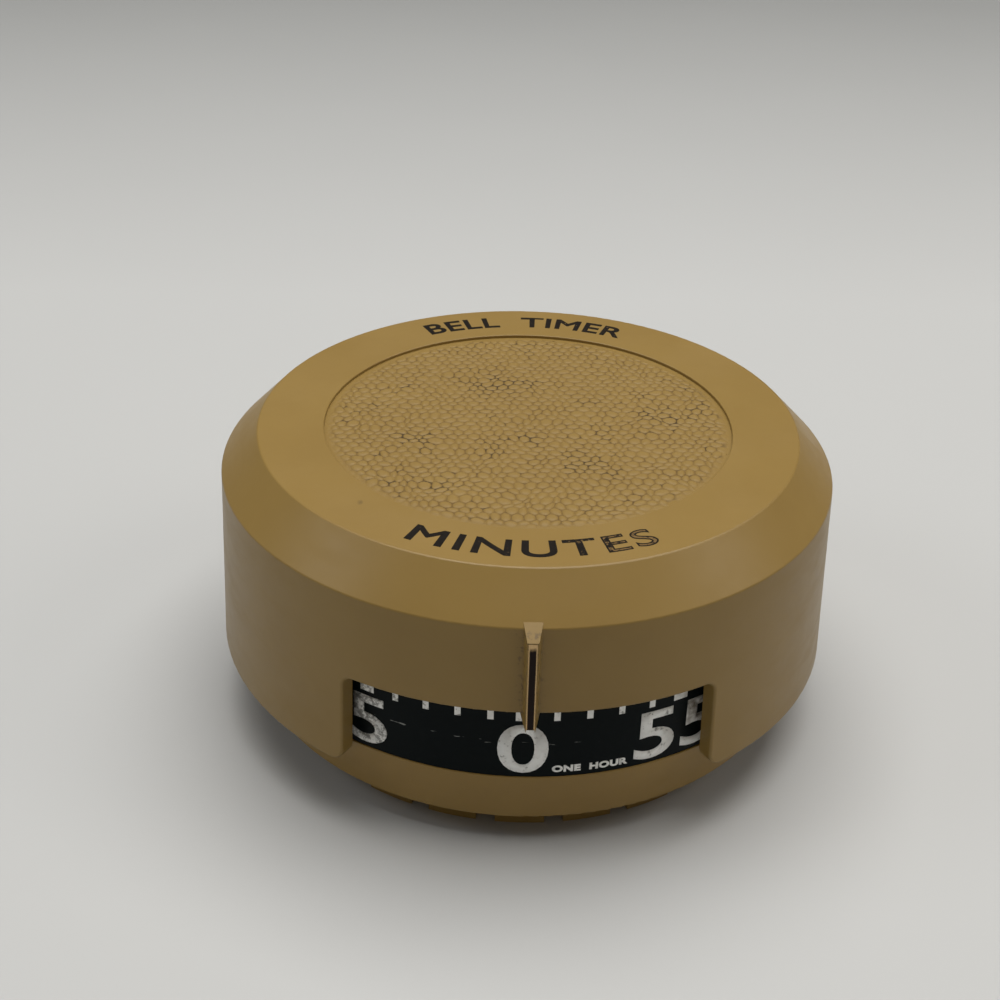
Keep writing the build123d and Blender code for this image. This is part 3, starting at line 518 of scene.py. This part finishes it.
# %% [markdown]
# ## Printing on round parts
# Print has hardly any thickness, but a little helps: the words are set flat as text objects,
# turned into meshes with a hair's depth, and cut into narrow strips, so that they can follow a
# curve. Then every point is moved from the flat sheet to the drum or to the ring. Moving the
# points is exact, where a bend tool would have to be lined up by eye.

# %% Set words flat
cap_share = 0.729                # height of a capital, as a share of the font's size
film_depth = 0.02 * mm


def strips(piece, width=0.8 * mm):
    """Cuts a flat mesh into upright strips, so that it can be curved."""
    edges = [v.co.x for v in piece.data.vertices]
    edit(piece)
    for i in range(1, ceil((max(edges) - min(edges)) / width)):
        bpy.ops.mesh.select_all(action="SELECT")
        bpy.ops.mesh.bisect(plane_co=(min(edges) + i * width, 0, 0), plane_no=(1, 0, 0))
    bpy.ops.object.mode_set(mode="OBJECT")


def words(name, body, tall, wide, weight=0.0, spacing=1.0):
    """Flat letters as a mesh: capitals of that height, stretched sideways, centred on x."""
    start()
    bpy.ops.object.text_add(location=(0, 0, 0))
    text = bpy.context.object
    text.name = name
    text.data.body, text.data.align_x = body, "CENTER"
    text.data.size, text.data.offset = (tall - 2 * weight) / cap_share, weight
    text.data.resolution_u, text.data.space_character = 6, spacing
    bpy.ops.object.convert(target="MESH")
    piece = bpy.context.object
    across = [v.co.x for v in piece.data.vertices]
    for point in piece.data.vertices:
        point.co.x = (point.co.x - (min(across) + max(across)) / 2) * wide
        point.co.y += weight
    edit(piece)
    bpy.ops.mesh.select_all(action="SELECT")
    bpy.ops.mesh.remove_doubles(threshold=0.01 * mm)
    bpy.ops.mesh.dissolve_degenerate(threshold=0.01 * mm)
    bpy.ops.mesh.dissolve_limited(angle_limit=radians(1))
    bpy.ops.object.mode_set(mode="OBJECT")
    return piece


def twin(piece):
    """A copy with a mesh of its own."""
    start()
    copied = piece.copy()
    copied.data = piece.data.copy()
    bpy.context.collection.objects.link(copied)
    return copied


def join(pieces, name):
    """One piece out of several."""
    start()
    for piece in pieces:
        piece.select_set(True)
    bpy.context.view_layer.objects.active = pieces[0]
    bpy.ops.object.join()
    pieces[0].name = name
    return pieces[0]


def ink_film(piece):
    """Gives a placed skin of ink its hair's depth, half of it on each side."""
    film = piece.modifiers.new("film", "SOLIDIFY")
    film.thickness, film.offset = film_depth, 0.0
    bpy.context.view_layer.objects.active = piece
    bpy.ops.object.modifier_apply(modifier="film")
    edit(piece)
    bpy.ops.mesh.select_all(action="SELECT")
    bpy.ops.mesh.dissolve_degenerate(threshold=0.001 * mm)
    bpy.ops.mesh.normals_make_consistent(inside=False)
    bpy.ops.object.mode_set(mode="OBJECT")


def round_drum(piece, azimuth, height):
    """Moves a flat piece onto the band. Azimuth is counted to the right of the pointer."""
    reach = band_radius + film_depth / 2
    for point in piece.data.vertices:
        angle = radians(azimuth) + point.co.x / band_radius
        point.co = (reach * sin(angle), -reach * cos(angle), height + point.co.y)
    ink_film(piece)


def round_ring(piece, baseline, far_side):
    """Moves a flat piece onto the cap's top ring. The letters stand on the baseline's radius."""
    half_tall = 2 * mm           # letters keep their width at half their height
    for point in piece.data.vertices:
        if far_side:
            reach = baseline + point.co.y
            angle = pi - point.co.x / (baseline + half_tall)
        else:
            reach = baseline - point.co.y
            angle = point.co.x / (baseline - half_tall)
        point.co = (reach * sin(angle), -reach * cos(angle), top_z)
    ink_film(piece)


print("lettering tools ready")

# %% [markdown]
# ## Numbers and ticks
# The minutes run clockwise seen from above, so from the front they grow to the left. There is a
# tick for each minute, wider at the fives, hanging from under the window's upper edge, and a
# bold number below each wide one. A digit and a tick are made once and copied. The white ink is
# thin: it is mottled and chipped.

# %% Numbers
band_zero = -0.9                 # degrees: the band's zero stands a hair left of the pointer
digit_tall, digit_wide, digit_bold = 8.1 * mm, 1.31, 0.17 * mm
digit_foot, digit_pitch = 12.95 * mm, 6.95 * mm
glyphs = {digit: words("digit", digit, digit_tall, digit_wide, digit_bold) for digit in "012345"}
numbers = []
for minute in range(0, 60, 5):
    label = str(minute)
    digits = [twin(glyphs[digit]) for digit in label]
    for column, glyph in enumerate(digits):
        for point in glyph.data.vertices:
            point.co.x += (column - (len(label) - 1) / 2) * digit_pitch
    number = join(digits, f"number_{minute:02d}")
    strips(number)
    round_drum(number, band_zero - 6 * minute, digit_foot)
    numbers.append(number)
for glyph in glyphs.values():
    bpy.data.objects.remove(glyph)
small_right, small_foot = 12.6, 12.9 * mm      # degrees from the band's zero, and height
small_print = words("band_small_print", "ONE  HOUR", 1.15 * mm, 1.25, 0.08 * mm, 1.08)
strips(small_print)
round_drum(small_print, band_zero + small_right, small_foot)
numbers.append(small_print)
print("numbers", [n.name for n in numbers])

# %% Ticks
tick_low, tick_high = 21.25 * mm, 25.9 * mm
plain_wide, fives_wide = 0.81 * mm, 2.06 * mm
start()
bpy.ops.mesh.primitive_grid_add(x_subdivisions=3, y_subdivisions=1, size=1.0)
plain_tick = bpy.context.object
ticks = []
for minute in range(60):
    tick = twin(plain_tick)
    wide = plain_wide if minute % 5 else fives_wide
    for point in tick.data.vertices:
        point.co = (point.co.x * wide, (point.co.y + 0.5) * (tick_high - tick_low), 0)
    round_drum(tick, band_zero - 6 * minute, tick_low)
    ticks.append(tick)
bpy.data.objects.remove(plain_tick)
minute_ticks = join(ticks, "minute_ticks")
numbers.append(minute_ticks)
print("tick faces", len(minute_ticks.data.polygons))

# %% White ink
material, place, shader = finish("white_ink")
x, _, z = place.parts()
smear = noise(place, 1.3 * mm, 5.0, 0.65)
chips = noise(place, 0.5 * mm, 4.0, 0.7)
worn_side = x.between(-4 * mm, -20 * mm) * 0.1
lost = (smear * 0.55 + chips * 0.45 + worn_side).between(0.56, 0.64)
# Painted shadow of the window's side walls: the numerals' upper parts by the window's ends are
# darkened brown
by_window_ends = (x + 1 * mm).math("ABSOLUTE").between(19.5 * mm, 22.5 * mm)
window_wall_shadow = by_window_ends * z.between(14.5 * mm, 18 * mm)
ink = (smear.between(0.4, 0.7) * 0.35).blend((0.94, 0.94, 0.91, 1), (0.62, 0.61, 0.56, 1))
ink = (window_wall_shadow * smear.between(0.2, 0.6) * 0.85).blend(ink, (0.16, 0.12, 0.08, 1))
wire_up(shader, Base_Color=(lost * 0.75).blend(ink, (0.06, 0.06, 0.045, 1)),
        Roughness=0.38 + smear * 0.1, Normal=bump(chips, 0.01 * mm, 0.4))
for number in numbers:
    number.data.materials.append(material)
    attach(number, "case")
print("inked", len(numbers))

# %% [markdown]
# ## Filled lettering on the cap
# Two plain words stand on the flat ring round the grip, like cuts filled with black paint. The
# paint holds best along the sides of the cuts, and rubs off the middle of the strokes, most of
# all on the right. So each letter is grown by a thin rim, which also makes it bolder, and a named
# attribute is 0 on its outline and 1 inside it. The finish reads that attribute to know where the
# paint may be worn through.

# %% Cap words
def with_outline(piece, width):
    """Gives flat letters a rim, as far outwards as it goes in. rubbed is 1 inside the rim."""
    mesh = edit(piece)
    bpy.ops.mesh.select_all(action="SELECT")
    bpy.ops.mesh.inset(thickness=width, use_boundary=True)
    pushes = {}
    for corner in mesh.verts:
        if not corner.select:
            joined = [edge.other_vert(corner) for edge in corner.link_edges]
            inner = next(v for v in joined if v.select)
            pushes[corner] = corner.co - inner.co
    for corner, push in pushes.items():
        corner.co += push
    inside = [corner.select for corner in mesh.verts]
    bmesh.update_edit_mesh(piece.data)
    bpy.ops.object.mode_set(mode="OBJECT")
    rubbed = piece.data.attributes.new("rubbed", "FLOAT", "POINT")
    for index, worn in enumerate(inside):
        rubbed.data[index].value = float(worn)


letter_rim = 0.125 * mm
cap_words = []
for name, body, tall, wide, spacing, baseline, far_side in (
        ("front_word", "MINUTES", 3.8 * mm, 1.36, 1.14, 35.3 * mm, False),
        ("rear_word", "BELL  TIMER", 3.6 * mm, 1.16, 1.05, 31.7 * mm, True)):
    word = words(name, body, tall, wide, spacing=spacing)
    with_outline(word, letter_rim)
    strips(word)
    round_ring(word, baseline, far_side)
    cap_words.append(word)
print("cap words", [w.name for w in cap_words])

# %% Paint finish
def paint(name, wear):
    """Black paint, more worn to the right. Where it is gone, the plastic of the cut shows."""
    material, place, shader = finish(name)
    inside = place.node("Attribute", {"attribute_name": "rubbed"}, out=2)
    smooth = noise(place, 0.7 * mm, 4.0, 0.65)
    to_right = place.parts()[0].between(2 * mm, 13 * mm) * wear
    bare = inside.between(0.85, 1.0) * (smooth + to_right).between(0.64, 0.74)
    ink = smooth.blend((0.006, 0.005, 0.004, 1), (0.020, 0.016, 0.013, 1))
    wire_up(shader, Base_Color=(bare * 0.85).blend(ink, (0.20, 0.125, 0.05, 1)),
            Roughness=0.4 + smooth * 0.2, Normal=bump(smooth, 0.02 * mm, 0.5),
            Specular_IOR_Level=0.05)
    return material


for word, wear in zip(cap_words, (0.26, 0.04)):
    word.data.materials.append(paint(word.name + "_paint", wear))
    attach(word, "dial")
print("paint on", len(cap_words), "words")

# %% [markdown]
# ## The pale sheet and the end
# The sheet gets a fine grain, and darkens towards the back where the light falls off.

# %% Table finish
material, place, shader = finish("pale_sheet")
far = place.parts()[1].between(0.14, 0.42)
grain = noise(place, 0.4 * mm, 3.0)
mottle = noise(place, 60 * mm, 2.0)
pale = (far * 0.95 + mottle * 0.06).blend((0.482, 0.486, 0.483, 1), (0.285, 0.289, 0.287, 1))
wire_up(shader, Base_Color=pale, Roughness=0.6 + grain * 0.1, Normal=bump(grain, 0.01 * mm, 0.2))
table.data.materials.append(material)
print("table ready")
